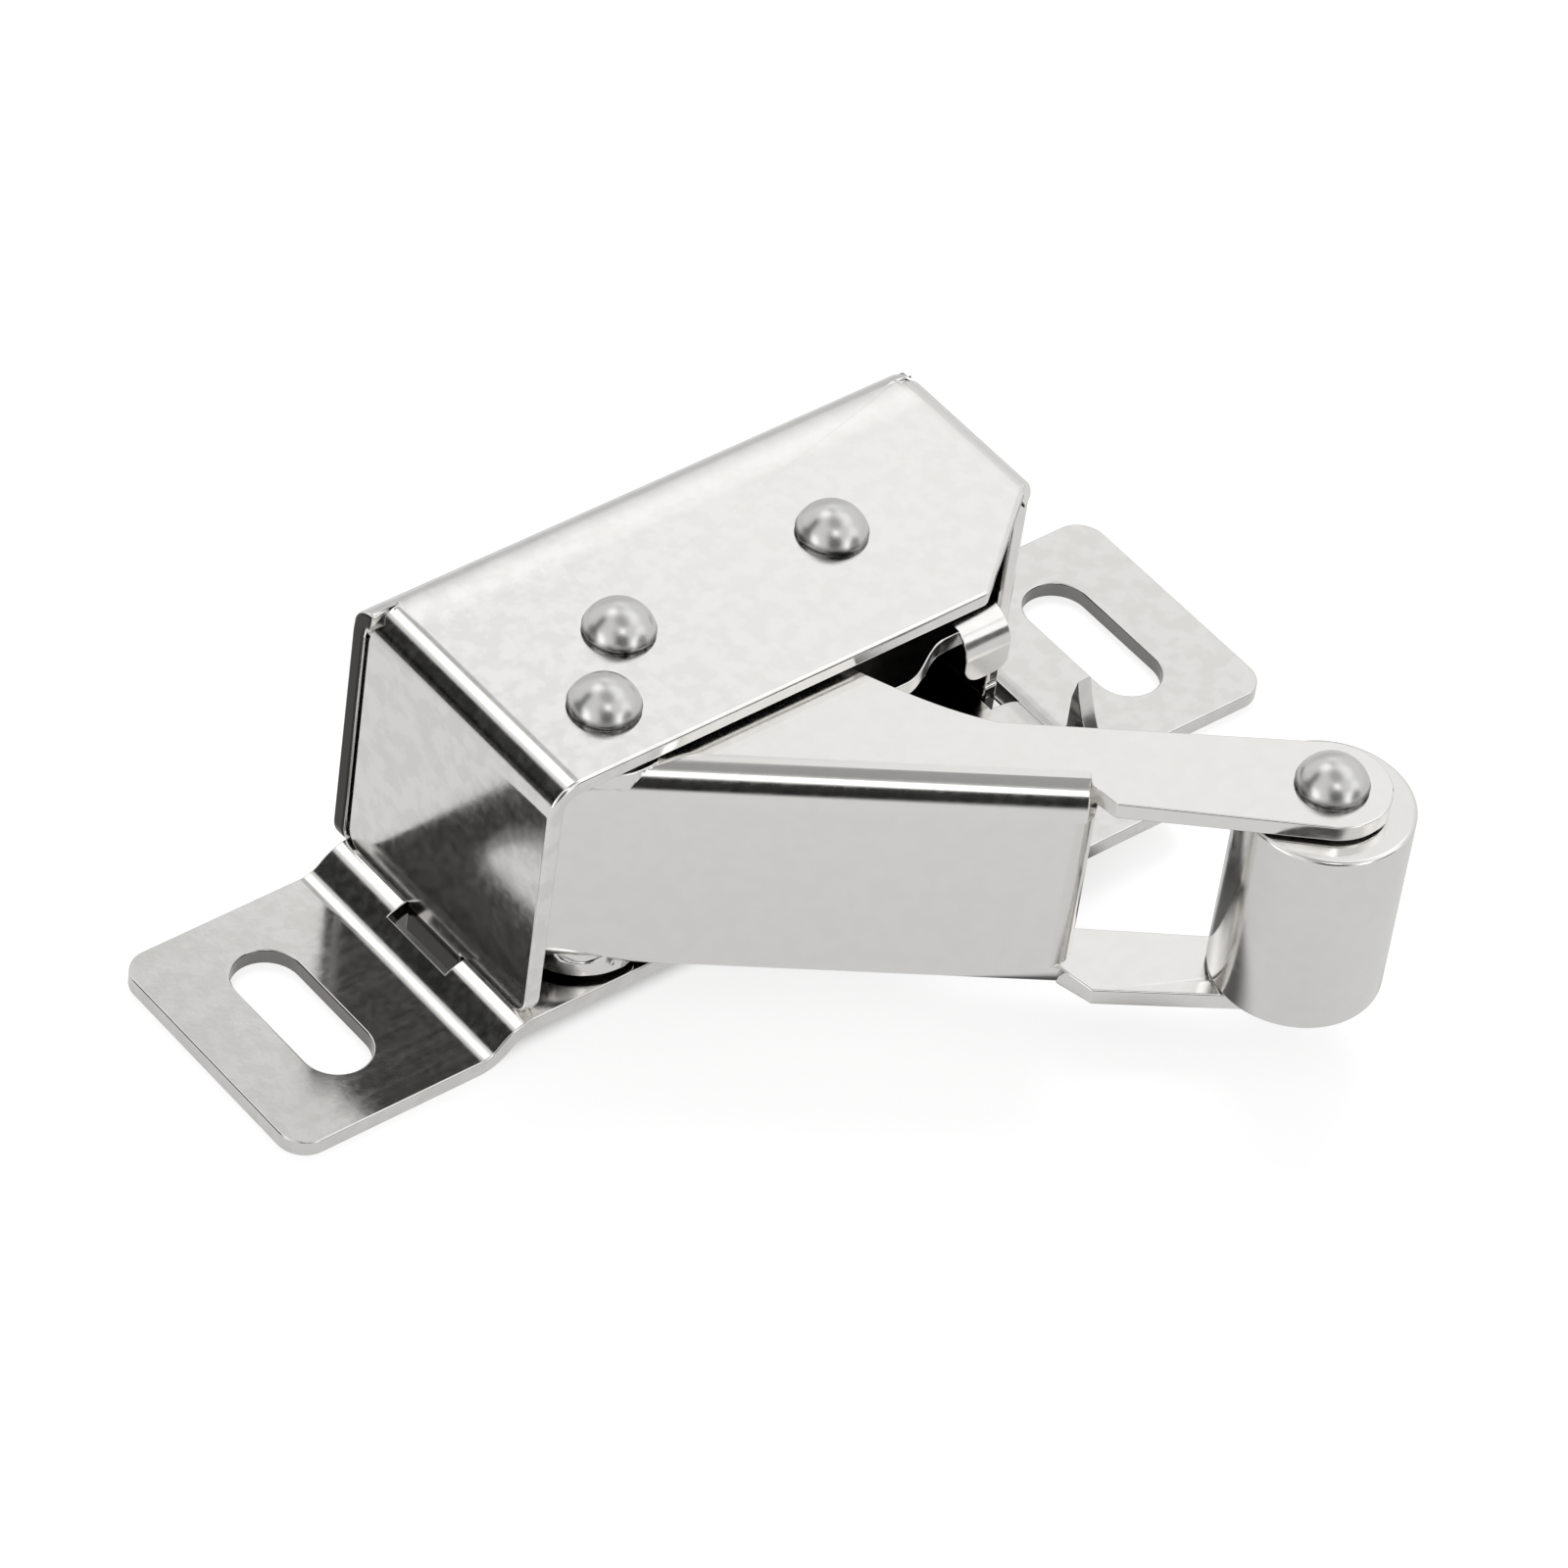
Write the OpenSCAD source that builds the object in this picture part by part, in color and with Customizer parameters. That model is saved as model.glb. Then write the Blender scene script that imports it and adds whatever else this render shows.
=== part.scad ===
// Roller touch latch. A folded steel cover stands on a joggled base strap with two slotted ears.
// A channel-shaped arm turns on a rivet inside the cover and carries a steel roller at its free end.
// The frame: X along the strap, Y from the open front to the back wall, Z up from the mounting plane.

/* [Sheet metal] */
// Thickness of the folded sheets
sheet_t = 1.2; // [1:0.05:1.3]
// Inside radius of the folds
fold_r = 0.5; // [0.3:0.1:0.7]
// Radius of the blanked outer corners of the ears
corner_r = 2; // [1:0.25:3]

/* [Base] */
// Overall length over the two ears
base_len = 80; // [78:0.5:88]
// Width of the strap
base_w = 19.4; // [19.2:0.1:20]
// Height of the raised middle above the ears
base_rise = 1.8; // [1.5:0.1:2.1]
// Slope of the joggle between middle and ear
joggle_a = 45; // [40:1:55]
// Distance between the two screw slots
slot_pitch = 65.2; // [64:0.2:70]
// Width of a screw slot
slot_w = 4.8; // [4.2:0.1:5.4]
// Length of a screw slot, across the strap
slot_len = 12; // [9:0.5:13]
// Width of the locking tabs of the cover
tab_w = 5.8; // [4:0.1:7]
// Space around a locking tab in its slot
tab_gap = 0.1; // [0.05:0.01:0.2]
// Room left outside a tab for folding it through the strap
tab_room = 1; // [0.6:0.1:1.4]
// How far a folded tab reaches under the strap
tab_reach = 2.6; // [1.5:0.1:3.5]
// Reach of the front wing beyond the strap
wing_reach = 6.8; // [5:0.1:7.2]
// Start of the front wing along the strap
wing_from = 9; // [4:0.5:14]
// Width of the front wing along the strap
wing_w = 18.2; // [14:0.1:18.4]
// Slit between the wing and the joggle beside it
wing_slit = 0.5; // [0.3:0.1:0.8]
// Height of the stop lug above the ear
lug_h = 3.65; // [3:0.05:3.7]
// Width of the stop lug at its foot
lug_w = 1.9; // [1.6:0.1:3]
// Gap between the joggle foot and the stop lug
lug_gap = 1.1; // [0.6:0.1:2]

/* [Cover] */
// Length of the cover
cover_len = 44.8; // [44:0.1:46]
// Space between the strap and the back wall
wall_gap = 0.1; // [0.05:0.05:0.4]
// Front edge of the cover, measured from the middle of the strap
cover_front = 9.5; // [9.3:0.1:9.8]
// Top of the cover above the mounting plane
cover_top = 22.75; // [22.7:0.05:24]
// Length of the bevelled corner along the front
bevel_x = 10; // [8:0.5:11]
// Depth of the bevelled corner
bevel_y = 7.5; // [6:0.25:8]
// Open slit between an end wall and the back wall
corner_slit = 0.4; // [0.2:0.05:0.8]
// How far the back wall stops short of the bevelled end
wall_short = 1.1; // [0:0.1:1.2]
// Radius of the lower corners of the walls
wall_corner_r = 2; // [1:0.25:2.5]

/* [Rivets] */
// Diameter of the rivet shanks
shank_d = 3; // [2.6:0.1:3.1]
// Diameter of the domed heads
head_d = 4.8; // [4.4:0.1:5.2]
// Height of the domed heads
head_h = 2; // [1.4:0.1:2.2]
// Diameter of the closing heads
tail_d = 4.4; // [4:0.1:4.6]
// Height of the closing heads under the strap
tail_h = 0.9; // [0.5:0.1:1.2]
// Space between a shank and its hole
rivet_fit = 0.03; // [0.02:0.01:0.05]
// Distance of the arm pivot from the covered end of the cover
arm_inset = 7.6; // [7.5:0.05:7.7]
// Distance of the arm pivot from the front edge of the cover
arm_front = 4.7; // [4.6:0.05:4.8]
// Stop post from the arm pivot, along and across the strap
stop_offset = 5; // [4.9:0.05:5.1]
// Distance of the lever pivot from the bevelled end of the cover
lever_inset = 15; // [14.8:0.05:15.2]
// Lever pivot across the strap
lever_y = 0.3; // [0.1:0.05:0.5]
// Diameter of the spacers on the posts
spacer_d = 3.8; // [3.6:0.05:4]

/* [Arm] */
// Angle of the arm from the strap as it stands open
arm_open = 35.7; // [35:0.1:36]
// Swing of the arm from open to closed
arm_swing = 33; // [30:0.5:33]
// Height of the arm channel over its two flanges
arm_h = 17.6; // [17:0.1:17.7]
// Distance from the pivot to the outside of the web
web_out = 4.37; // [4.3:0.01:4.5]
// Length of the web beyond the pivot
web_len = 31.2; // [29:0.1:31.6]
// Length of the web behind the pivot
tail_len = 4.6; // [4:0.1:4.7]
// Depth of the inward return at the free end of the web
return_w = 3.4; // [2.4:0.1:4]
// Height left free between the return and each flange
relief_h = 0.8; // [0.7:0.1:3]
// Rise of the slanting cut across the lower end of the return
slant_h = 3.4; // [2:0.2:5]
// Width of the relief cuts beside the folds
relief_w = 0.7; // [0.5:0.1:1]
// Distance from the pivot to the roller axis, along the web
roller_u = 45.75; // [45:0.05:46]
// Offset of the roller axis, to the back of the pivot
roller_w = -2.25; // [-2.6:0.05:-2]
// Radius of the end of the upper strip
strip_end_r = 3.9; // [3.5:0.05:4.1]
// Radius of the end of the lower strip
low_end_r = 2.6; // [2.4:0.05:2.9]
// Width by which the strips stand out beside the end of the web
strip_out = 0.6; // [0.3:0.05:0.9]
// Radius of the flanges around the pivot
boss_r = 4.6; // [4.2:0.05:4.7]
// Depth of the wide part of the flanges behind the pivot
hump_w = 7; // [6:0.1:7.2]
// Space between the pivot sleeve and the flange holes
pivot_fit = 0.05; // [0.03:0.01:0.08]
// Diameter of the pivot sleeve
sleeve_d = 4; // [3.8:0.05:4.1]
// Diameter of the washers on the sleeve
washer_d = 7; // [6:0.1:8]
// Thickness of the washers on the sleeve
washer_t = 0.45; // [0.35:0.05:0.45]

/* [Roller] */
// Diameter of the roller
roller_d = 11.35; // [10.5:0.05:11.5]
// Space between a roller face and the strip beside it
roller_gap = 0.25; // [0.15:0.05:0.4]
// Chamfer of the roller's rims
roller_chamfer = 0.3; // [0.2:0.05:0.5]
// Diameter of the bush in the roller
bush_d = 4; // [3.8:0.05:5]
// Space between the bush and the roller's bore
roller_fit = 0.06; // [0.03:0.01:0.09]
// Thickness of the roller rivet's flat closing head
flat_tail = 0.35; // [0.2:0.05:0.4]

/* [Catch] */
// Height of the catch lever's upper face
lever_top = 12; // [11:0.1:12.5]
// Drop of the trigger lip below the lever's upper face
lip_drop = 4.2; // [3.5:0.1:5]
// Space between the trigger lip and the end wall beside it
lip_gap = 0.4; // [0.3:0.05:0.6]
// Width of the trigger lip
lip_w = 3.8; // [3.4:0.1:3.9]
// Outside face of the trigger lip, in front of the middle of the strap
lip_y = -4.05; // [-4.2:0.05:-3.9]
// Swing of the lever from released to locked
lever_swing = 2.5; // [2:0.25:3]
// Diameter of the latch pin
pin_d = 2; // [1.8:0.05:2.1]
// Distance of the latch pin from the arm pivot
pin_dist = 6.3; // [6.25:0.05:6.4]
// Top of the nose with the lever released, behind the middle of the strap
nose_top = 0.1; // [0:0.05:0.15]
// Space between nose and latch pin with the arm closed
nose_gap = 0.11; // [0.05:0.01:0.2]

/* [Springs] */
// Wire of the arm spring
arm_wire = 0.7; // [0.5:0.05:0.75]
// Turns of the arm spring
arm_turns = 7; // [4:1:8]
// Wire of the lever spring
lever_wire = 0.5; // [0.4:0.05:0.6]
// Turns of the lever spring
lever_turns = 4; // [3:1:6]

/* [Hidden] */
$fn = 64;
cut = 1;
fold_out = fold_r + sheet_t;
fold_mid = fold_r + sheet_t / 2;
floor_top = base_rise + sheet_t;
roof_low = cover_top - sheet_t;
joggle_s = (base_rise - 2 * fold_mid * (1 - cos(joggle_a))) / sin(joggle_a);
joggle_x = 2 * fold_mid * sin(joggle_a) + joggle_s * cos(joggle_a);
middle_x = cover_len / 2;
foot_x = middle_x + joggle_x;
back_in = base_w / 2 + wall_gap;
cover_back = back_in + sheet_t;
end_in = cover_len / 2 - sheet_t;
end_back = back_in - corner_slit;
bevel_edge = -cover_front + bevel_y;
arm_x = arm_inset - cover_len / 2;
arm_y = arm_front - cover_front;
lever_x = cover_len / 2 - lever_inset;
lip_from = end_in - lip_gap - lip_w;
arm_at = [arm_x, arm_y];
stop_at = [arm_x + stop_offset, arm_y + stop_offset];
lever_at = [lever_x, lever_y];
arm_gap = (roof_low - floor_top - arm_h) / 2;
arm_low = floor_top + arm_gap;
arm_top = arm_low + arm_h;
web_in = web_out - sheet_t;
fold_line = web_out - fold_out;
channel_h = arm_h - 2 * sheet_t;
stop_dist = stop_offset * sqrt(2);
stop_turn = 45 + arm_open - arm_swing;
stop_clear = spacer_d / 2 + 0.4;
pin_turn = 115 + arm_open - arm_swing;
pin_closed = arm_at + pin_dist * [cos(115), sin(115)];
pin_boss_r = pin_d / 2 + 0.9;
lever_low = lever_top - sheet_t;
lever_back = 3.7;
lip_r = 1.6;
spring_gap = 0.05;
wire_gap = 0.08;
spacer_gap = 0.05;
window_r = shank_d / 2 + 0.05;
stop_reach = lever_at[0] - stop_at[0];
window_travel = stop_reach * sin(lever_swing);
rib = 1.15;
nose_x = pin_closed[0] + pin_d / 2 + nose_gap;
nose_w = 0.75;
nose_slope = 0.7;
finger_top = nose_top - 0.85;
finger_low = nose_top - 2.1;
hump_from = 6.6;
hump_to = 15;
sweep_u = 20.6;
sweep_w = 3.1;
strip_from = 25;
boss_u = 3.6;
boss_w = 1.6;
post_leg = 8;
web_leg = 14;
wall_leg = 3;
hook_reach = 6;
lug_x = foot_x + lug_gap;
lug_y = -5.05;
bronze = [0.72, 0.72, 0.7];
steel = [0.82, 0.82, 0.8];
bright = [0.9, 0.9, 0.88];
dark = [0.45, 0.45, 0.45];

// A rectangle with its own radius at each corner, from lower left round to upper left
module plate2(x0, x1, y0, y1, r) {
    c = [[x0, y0, 1, 1], [x1, y0, -1, 1], [x1, y1, -1, -1], [x0, y1, 1, -1]];
    difference() {
        translate([x0, y0]) square([x1 - x0, y1 - y0]);
        for (i = [0:3])
            if (r[i] > 0)
                translate([c[i][0] + c[i][2] * (r[i] / 2 - cut / 2), c[i][1] + c[i][3] * (r[i] / 2 - cut / 2)])
                    square(r[i] + cut, center = true);
    }
    for (i = [0:3])
        if (r[i] > 0)
            intersection() {
                translate([c[i][0] + c[i][2] * r[i], c[i][1] + c[i][3] * r[i]]) circle(r[i]);
                translate([x0, y0]) square([x1 - x0, y1 - y0]);
            }
}

// Section of a fold about the origin, between two angles no more than a quarter turn apart
module fold2(a0, a1) {
    far = 2 * fold_out;
    mid = (a0 + a1) / 2;
    intersection() {
        difference() {
            circle(fold_out);
            circle(fold_r);
        }
        polygon([[0, 0], far * [cos(a0), sin(a0)], far * [cos(mid), sin(mid)], far * [cos(a1), sin(a1)]]);
    }
}

// A fold in the XZ plane about the origin, running along Y
module fold_y(a0, a1, y0, y1) {
    translate([0, y1, 0]) rotate([90, 0, 0]) linear_extrude(y1 - y0) fold2(a0, a1);
}

// A fold in the YZ plane about the origin, running along X
module fold_x(a0, a1, x0, x1) {
    translate([x0, 0, 0]) rotate([90, 0, 90]) linear_extrude(x1 - x0) fold2(a0, a1);
}

// A flat wall drawn in the YZ plane, standing at x0
module wall_x(x0, t) {
    translate([x0, 0, 0]) rotate([90, 0, 90]) linear_extrude(t) children();
}

// A flat wall drawn in the XZ plane, standing at y0
module wall_y(y0, t) {
    translate([0, y0 + t, 0]) rotate([90, 0, 0]) linear_extrude(t) children();
}

// A slot with round ends, its centre line running along Y
module slot2(w, l) {
    square([w, l - w], center = true);
    for (s = [-1, 1])
        translate([0, s * (l - w) / 2]) circle(d = w);
}

module tube(d_out, d_in, z0, z1) {
    translate([0, 0, z0]) difference() {
        cylinder(d = d_out, h = z1 - z0);
        translate([0, 0, -cut]) cylinder(d = d_in, h = z1 - z0 + 2 * cut);
    }
}

// A domed rivet head standing on the origin
module dome(d, h) {
    r = (d * d / 4 + h * h) / (2 * h);
    intersection() {
        translate([0, 0, h - r]) sphere(r);
        cylinder(d = d, h = h + cut);
    }
}

// One half of the joggled strap, each piece carried by the one before: fold, slope, fold, slotted ear
module ear() {
    half = base_w / 2;
    translate([middle_x, 0, floor_top - fold_out]) {
        fold_y(90 - joggle_a, 90, -half, half);
        rotate([0, joggle_a, 0]) {
            translate([0, -half, fold_r]) cube([joggle_s, base_w, sheet_t]);
            translate([joggle_s, 0, fold_r + fold_out]) {
                fold_y(270, 270 + joggle_a, -half, half);
                rotate([0, -joggle_a, 0]) translate([0, 0, -fold_out]) linear_extrude(sheet_t) difference() {
                    plate2(0, base_len / 2 - foot_x, -half, half, [0, corner_r, corner_r, 0]);
                    translate([slot_pitch / 2 - foot_x, 0]) slot2(slot_w, slot_len);
                }
            }
        }
    }
}

// Slot for a locking tab, reaching past the end wall of the cover
module tab_slot() {
    translate([end_in - tab_gap, -tab_w / 2 - tab_gap, -cut])
        cube([sheet_t + tab_gap + tab_room, tab_w + 2 * tab_gap, floor_top + 2 * cut]);
}

// Pointed upright lug that stops the lower strip of the closing arm
module stop_lug() {
    back_y = lug_y;
    steps = 10;
    side = [for (i = [0:steps]) let (s = i / steps)
        [back_y - 0.35 - (lug_w - 0.35) * (1 - s) * (0.55 + 0.45 * (1 - s)), sheet_t + lug_h * s]];
    wall_x(lug_x, sheet_t) polygon(concat([[back_y, sheet_t / 2], [back_y - lug_w, sheet_t / 2]], side,
        [[back_y, sheet_t + lug_h * 0.55]]));
}

module base_plate() {
    color(steel) difference() {
        union() {
            translate([-middle_x, -base_w / 2, base_rise]) cube([2 * middle_x, base_w, sheet_t]);
            ear();
            mirror([1, 0, 0]) ear();
            translate([0, 0, base_rise]) linear_extrude(sheet_t) difference() {
                plate2(wing_from, wing_from + wing_w, -base_w / 2 - wing_reach, -base_w / 2 + sheet_t,
                    [corner_r, corner_r / 1.5, 0, 0]);
                translate([middle_x - wing_slit, -base_w / 2 - wing_slit])
                    square([wing_w, 2 * sheet_t + wing_slit]);
            }
            stop_lug();
        }
        tab_slot();
        mirror([1, 0, 0]) tab_slot();
        for (p = [arm_at, stop_at, lever_at])
            translate([p[0], p[1], 0]) cylinder(d = shank_d + 2 * rivet_fit, h = floor_top + cut);
    }
}

// End wall with its fold and its locking tab; front is the wall's front edge
module end_wall(front) {
    tab_low = max(front, -tab_w / 2);
    wall_x(end_in, sheet_t)
        plate2(front, end_back, floor_top, cover_top - fold_out, [wall_corner_r * 0.75, wall_corner_r * 0.75, 0, 0]);
    translate([cover_len / 2 - fold_out, 0, cover_top - fold_out]) fold_y(0, 90, front, end_back);
    translate([end_in, tab_low, base_rise - sheet_t]) cube([sheet_t, tab_w / 2 - tab_low, 2 * sheet_t + cut]);
    translate([end_in - tab_reach, tab_low, base_rise - sheet_t])
        cube([tab_reach + sheet_t / 2, tab_w / 2 - tab_low, sheet_t]);
}

module cover() {
    roof_x = cover_len / 2 - fold_out;
    side_x = cover_len / 2;
    color(bright) difference() {
        union() {
            translate([-roof_x, -cover_front, roof_low])
                cube([2 * roof_x, cover_front + cover_back - fold_out, sheet_t]);
            translate([side_x - fold_out, 0, cover_top - fold_out]) fold_y(0, 90, -cover_front, bevel_edge + cut / 2);
            translate([0, cover_back - fold_out, cover_top - fold_out]) fold_x(0, 90, -side_x, side_x - wall_short);
            wall_y(back_in, sheet_t) plate2(-side_x, side_x - wall_short, base_rise, cover_top - fold_out,
                [wall_corner_r, wall_corner_r, 0, 0]);
            mirror([1, 0, 0]) end_wall(-cover_front);
            end_wall(bevel_edge);
        }
        translate([0, 0, cover_top - fold_out]) linear_extrude(fold_out + cut)
            polygon([[side_x - bevel_x, -cover_front], [side_x, bevel_edge], [side_x + cut, bevel_edge],
                [side_x + cut, -cover_front - cut], [side_x - bevel_x - cut, -cover_front - cut]]);
        for (p = [arm_at, stop_at, lever_at])
            translate([p[0], p[1], roof_low - cut]) cylinder(d = shank_d + 2 * rivet_fit, h = sheet_t + 2 * cut);
    }
}

// Places what is drawn in the arm's own frame: u along the web, w to its back, turned to the open position
module in_arm() {
    translate([arm_x, arm_y, 0]) rotate([0, 0, -arm_open]) children();
}

// Points of a smooth hollow curve from the wide part of a flange down to its strip
function sweep(a, b, c, n) = [for (i = [0:n]) let (t = i / n)
    (1 - t) * (1 - t) * a + 2 * t * (1 - t) * b + t * t * c];

// Outline of a flange: boss round the pivot, wide back part, and the strip out to the roller
module flange2(end_r, back_w, slope) {
    hump = [hump_from, hump_w];
    end_w = roller_w + end_r;
    step_u = web_len + relief_w;
    difference() {
        union() {
            circle(boss_r);
            translate([-tail_len, -fold_line]) square([tail_len, fold_line]);
            rotate(pin_turn) translate([0, -pin_boss_r]) square([pin_dist, 2 * pin_boss_r]);
            rotate(pin_turn) translate([pin_dist, 0]) circle(pin_boss_r);
            polygon(concat([[0, -fold_line], [0, 0], [boss_u, boss_w], hump], sweep([hump_to, hump_w],
                [sweep_u, sweep_w], [strip_from, back_w], 12), [[roller_u, end_w], [roller_u, -fold_line]]));
            polygon([[web_len - relief_w, -fold_line], [web_len - relief_w, -fold_line - sheet_t / 2],
                [step_u + slope, -web_out - strip_out], [roller_u, roller_w - end_r], [roller_u, 0],
                [web_len - relief_w, 0]]);
            translate([roller_u, roller_w]) circle(end_r);
        }
        rotate(stop_turn) translate([stop_dist, 0]) circle(stop_clear);
        circle(d = sleeve_d + 2 * pivot_fit);
        rotate(pin_turn) translate([pin_dist, 0]) circle(d = pin_d + 2 * rivet_fit);
        translate([roller_u, roller_w]) circle(d = shank_d + 2 * rivet_fit);
    }
}

module swing_arm() {
    web_end = web_len - fold_out;
    color(bright) in_arm() {
        translate([0, 0, arm_top - sheet_t]) linear_extrude(sheet_t)
            flange2(strip_end_r, roller_w + strip_end_r + 0.35, 0.1);
        translate([0, 0, arm_low]) linear_extrude(sheet_t)
            flange2(low_end_r, roller_w + low_end_r + 0.4, 0.7);
        translate([0, -fold_line, arm_top - fold_out]) fold_x(90, 180, -tail_len, web_len - relief_w);
        translate([0, -fold_line, arm_low + fold_out]) fold_x(180, 270, -tail_len, web_len - relief_w);
        translate([-tail_len, -web_out, arm_low + fold_out])
            cube([tail_len + web_end, sheet_t, arm_h - 2 * fold_out]);
        translate([web_end, -web_out, arm_low + fold_out])
            cube([fold_out - relief_w, sheet_t, relief_h - fold_out + sheet_t]);
        translate([web_end, -web_out, arm_top - sheet_t - relief_h])
            cube([fold_out - relief_w, sheet_t, relief_h + sheet_t - fold_out]);
        difference() {
            translate([0, -web_out + fold_out, arm_low + sheet_t + relief_h]) {
                translate([web_end, 0, 0]) linear_extrude(channel_h - 2 * relief_h) fold2(270, 360);
                translate([web_len - sheet_t, 0, 0])
                    cube([sheet_t, return_w - fold_out, channel_h - 2 * relief_h]);
            }
            wall_y(-web_out - cut, return_w + 2 * cut) polygon([[web_len - relief_w, arm_low + sheet_t],
                [web_len + cut, arm_low + sheet_t], [web_len + cut, arm_low + sheet_t + slant_h]]);
        }
    }
}

module roller() {
    low = arm_low + sheet_t + roller_gap;
    h = channel_h - 2 * roller_gap;
    color(bright) in_arm() translate([roller_u, roller_w, low]) rotate_extrude()
        polygon([[bush_d / 2 + roller_fit, 0], [roller_d / 2 - roller_chamfer, 0],
            [roller_d / 2, roller_chamfer], [roller_d / 2, h - roller_chamfer],
            [roller_d / 2 - roller_chamfer, h], [bush_d / 2 + roller_fit, h]]);
}

module roller_bush() {
    color(bronze) in_arm() translate([roller_u, roller_w, 0])
        tube(bush_d, shank_d + 2 * rivet_fit, arm_low + sheet_t, arm_top - sheet_t);
}

// Shank between z0 and z1 with a domed head on top and a closing head below
module rivet(z0, z1, tail) {
    translate([0, 0, z0 - tail]) cylinder(d = shank_d, h = z1 - z0 + tail);
    translate([0, 0, z1]) dome(head_d, head_h);
    if (tail < 0.5)
        translate([0, 0, z0 - tail]) cylinder(d = tail_d, h = tail);
    else
        translate([0, 0, z0]) mirror([0, 0, 1]) dome(tail_d, tail);
}

module roller_rivet() {
    color(bright) in_arm() translate([roller_u, roller_w, 0]) rivet(arm_low, arm_top, flat_tail);
}

module post_rivet(p) {
    color(bright) translate([p[0], p[1], 0]) rivet(base_rise, cover_top, tail_h);
}

module arm_rivet() {
    post_rivet(arm_at);
}

module stop_rivet() {
    post_rivet(stop_at);
}

module lever_rivet() {
    post_rivet(lever_at);
}

module spacer(p, z0, z1) {
    color(bronze) translate([p[0], p[1], 0]) tube(spacer_d, shank_d + 2 * rivet_fit, z0, z1);
}

module arm_sleeve() {
    color(bronze) translate([arm_x, arm_y, 0]) tube(sleeve_d, shank_d + 2 * rivet_fit, floor_top, roof_low);
}

module arm_washer_low() {
    color(bronze) translate([arm_x, arm_y, 0])
        tube(washer_d, sleeve_d + 2 * rivet_fit, floor_top, floor_top + washer_t);
}

module arm_washer_top() {
    color(bronze) translate([arm_x, arm_y, 0])
        tube(washer_d, sleeve_d + 2 * rivet_fit, roof_low - washer_t, roof_low);
}

module stop_spacer_low() {
    spacer(stop_at, floor_top, lever_low - spacer_gap);
}

module stop_spacer_top() {
    spacer(stop_at, lever_top + spacer_gap, roof_low);
}

module lever_spacer_low() {
    spacer(lever_at, floor_top, lever_low - spacer_gap);
}

module lever_spacer_top() {
    spacer(lever_at, lever_top + spacer_gap, roof_low);
}

// Smooth step from one value to another
function ease(a, b, t) = a + (b - a) * t * t * (3 - 2 * t);

// Plan of the catch lever: nose and finger on the left, window round the stop post, hub, trigger plate
module lever2() {
    front = -5.05;
    shelf = -3.1;
    back = lever_back;
    lip_end = lip_from + lip_w;
    ring_r = window_r + rib;
    window_y = stop_at[1] - window_travel / 2;
    under = stop_at[1] - window_travel - ring_r + 0.1;
    edge = [for (i = [0:14]) let (t = i / 14) [11 + 4.7 * t, ease(front, shelf, t)]];
    difference() {
        union() {
            polygon(concat([[lever_x - 4.6, front + 1.6], [lever_x - 2.4, front + 0.4], [lever_x - 1, front]], edge,
                [[lip_from, shelf], [lip_from, lip_y + fold_out], [lip_end, lip_y + fold_out],
                [lip_end, back - 2.4], [lip_end - 1.6, back - 0.6], [lip_end - 3.4, back], [lever_x - 2, back],
                [lever_x - 7, back - 0.1], [stop_at[0] + 0.6, stop_at[1] + ring_r - 0.1],
                [stop_at[0], under], [lever_x - 7.6, under + 0.5]]));
            translate([stop_at[0], window_y]) slot2(2 * ring_r, window_travel + 2 * ring_r);
            polygon([[nose_x, finger_low], [nose_x, nose_top], [nose_x + nose_w, nose_top],
                [nose_x + nose_w + nose_slope, finger_top], [stop_at[0], finger_top], [stop_at[0], under],
                [stop_at[0] - 1.4, under + 0.3], [stop_at[0] - 3, finger_low]]);
        }
        translate([stop_at[0], window_y]) slot2(2 * window_r, window_travel + 2 * window_r);
        translate([lever_x, lever_y]) circle(d = shank_d + 2 * pivot_fit);
    }
}

module catch_lever() {
    color(steel) {
        translate([0, 0, lever_low]) linear_extrude(sheet_t) lever2();
        translate([0, lip_y + fold_out, lever_top - fold_out]) fold_x(90, 180, lip_from, lip_from + lip_w);
        wall_y(lip_y, sheet_t) plate2(lip_from, lip_from + lip_w, lever_top - lip_drop, lever_top - fold_out,
            [lip_r, 1, 0, 0]);
    }
}

module latch_pin() {
    over = 0.2;
    color(bronze) in_arm() rotate([0, 0, pin_turn]) translate([pin_dist, 0, arm_low - over])
        cylinder(d = pin_d, h = arm_h + 2 * over);
}

// Round wire along a path: one ring of corners at each point, square to the local direction
function unit(v) = v / norm(v);
function ring(p, d, r, n) = let (t = unit(d), a = unit(cross(t, abs(t[2]) < 0.9 ? [0, 0, 1] : [1, 0, 0])),
    b = cross(t, a)) [for (i = [0:n - 1]) p + r * (cos(360 * i / n) * a + sin(360 * i / n) * b)];

module wire(path, r, n = 8) {
    m = len(path);
    pts = [for (i = [0:m - 1]) each ring(path[i], path[min(i + 1, m - 1)] - path[max(i - 1, 0)], r, n)];
    sides = [for (i = [0:m - 2]) for (j = [0:n - 1])
        [i * n + j, i * n + (j + 1) % n, (i + 1) * n + (j + 1) % n, (i + 1) * n + j]];
    polyhedron(pts, concat([[for (j = [n - 1:-1:0]) j]], sides, [[for (j = [0:n - 1]) (m - 1) * n + j]]));
}

// Points of a straight leg that leaves a coil's tangent point at angle a, heading along h
function leg(c, r, a, h, l, z) = [c[0] + r * cos(a) + l * cos(h), c[1] + r * sin(a) + l * sin(h), z];

// Points of a coil between two angles, climbing from z0 to z1
function coil(c, r, a0, a1, z0, z1) = let (n = ceil(abs(a1 - a0) / 24)) [for (i = [0:n]) let (t = i / n)
    [c[0] + r * cos(a0 + (a1 - a0) * t), c[1] + r * sin(a0 + (a1 - a0) * t), z0 + (z1 - z0) * t]];

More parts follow.
